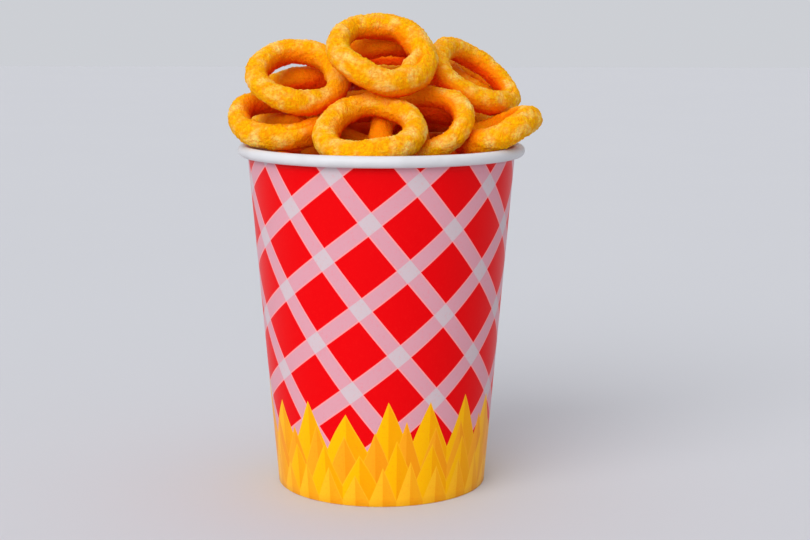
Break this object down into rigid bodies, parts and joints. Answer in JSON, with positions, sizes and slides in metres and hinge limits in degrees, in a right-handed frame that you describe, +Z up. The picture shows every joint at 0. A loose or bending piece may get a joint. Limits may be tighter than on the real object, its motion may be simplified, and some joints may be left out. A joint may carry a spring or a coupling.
{
  "type": "onion rings side",
  "caption": "Takeaway side of crumbed onion rings heaped above the rim of a tall tapered paper tub with a rolled rim and an overall checked print.",
  "frame": {"origin": "on the table, under the middle of the bounding box of the whole serving", "axes": "+Z up along the tub's axis, -Y towards the side the serving is seen from, +X to that viewer's right"},
  "size_m": [0.1558, 0.1522, 0.2405],
  "materials": {
    "printed_paper": "gloss-coated paper printed red with a diagonal lattice of pale bands, and a plain white rolled rim",
    "plain_board": "uncoated white board",
    "crumb": "golden fried crumb with paler and browner patches",
    "deep_crumb": "golden fried crumb in shade"
  },
  "bodies": {
    "root": {"tub_wall": "printed_paper", "tub_base": "plain_board", "rings_below": "deep_crumb", "ring_top": "crumb", "ring_upper_left": "crumb", "ring_front": "crumb", "ring_front_right": "crumb", "ring_upper_right": "crumb", "ring_lower_left": "crumb", "ring_lower_right": "crumb", "ring_inner": "crumb", "ring_behind_right": "crumb", "ring_behind_left": "crumb", "ring_back_top": "crumb", "ring_back": "crumb", "ring_back_left": "crumb", "ring_back_right": "crumb"}
  },
  "joints": []
}
